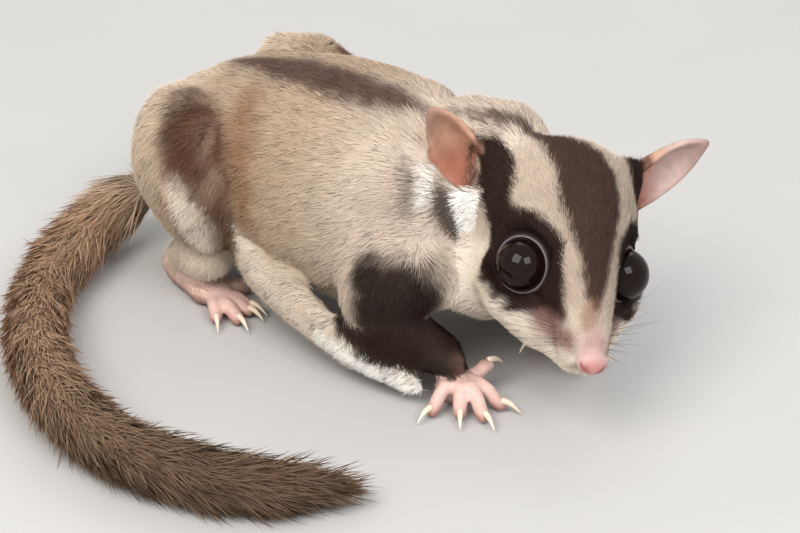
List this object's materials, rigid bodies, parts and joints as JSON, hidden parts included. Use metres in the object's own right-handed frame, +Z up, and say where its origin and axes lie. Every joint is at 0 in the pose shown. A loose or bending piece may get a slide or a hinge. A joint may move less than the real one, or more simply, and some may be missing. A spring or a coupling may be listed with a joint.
{
  "type": "sugar glider figure",
  "caption": "Life-size sugar glider crouching on all fours, head turned aside, with forehead and back stripe, gathered gliding membranes and a bushy tail curled along the floor.",
  "frame": {"origin": "middle of the foot of the bounding box, at floor level", "axes": "+Z up; -Y is the way the body faces, with the tail behind at +Y; +X is the animal's own left"},
  "size_m": [0.114, 0.1284, 0.0544],
  "materials": {
    "grey_fur": "short, dense, beige-grey coat, matt",
    "pale_fur": "short cream coat, matt",
    "dark_fur": "short dark brown coat, matt",
    "tail_fur": "bushy grey-brown coat, matt",
    "bare_skin": "thin bare pink skin, slightly moist",
    "ear_skin": "thin bare ear skin, satin",
    "eye": "wet dark eye, glossy",
    "claw": "pale horn, satin"
  },
  "bodies": {
    "root": {"head": "pale_fur", "torso": "grey_fur", "neck": "grey_fur", "eye_right": "eye", "ear_right": "ear_skin", "forefoot_right": "bare_skin", "hind_foot_right": "bare_skin", "thigh_right": "grey_fur", "shank_right": "grey_fur", "upper_arm_right": "dark_fur", "forearm_right": "dark_fur", "gliding_membrane_right": "pale_fur", "claw_fore_right_1": "claw", "claw_fore_right_2": "claw", "claw_fore_right_3": "claw", "claw_fore_right_4": "claw", "claw_fore_right_5": "claw", "claw_hind_right_2": "claw", "claw_hind_right_3": "claw", "claw_hind_right_4": "claw", "claw_hind_right_5": "claw", "eye_left": "eye", "ear_left": "ear_skin", "forefoot_left": "bare_skin", "hind_foot_left": "bare_skin", "thigh_left": "grey_fur", "shank_left": "grey_fur", "upper_arm_left": "dark_fur", "forearm_left": "dark_fur", "gliding_membrane_left": "pale_fur", "claw_fore_left_1": "claw", "claw_fore_left_2": "claw", "claw_fore_left_3": "claw", "claw_fore_left_4": "claw", "claw_fore_left_5": "claw", "claw_hind_left_2": "claw", "claw_hind_left_3": "claw", "claw_hind_left_4": "claw", "claw_hind_left_5": "claw", "tail_base": "tail_fur", "tail_middle": "tail_fur", "tail_tip": "tail_fur"}
  },
  "joints": []
}
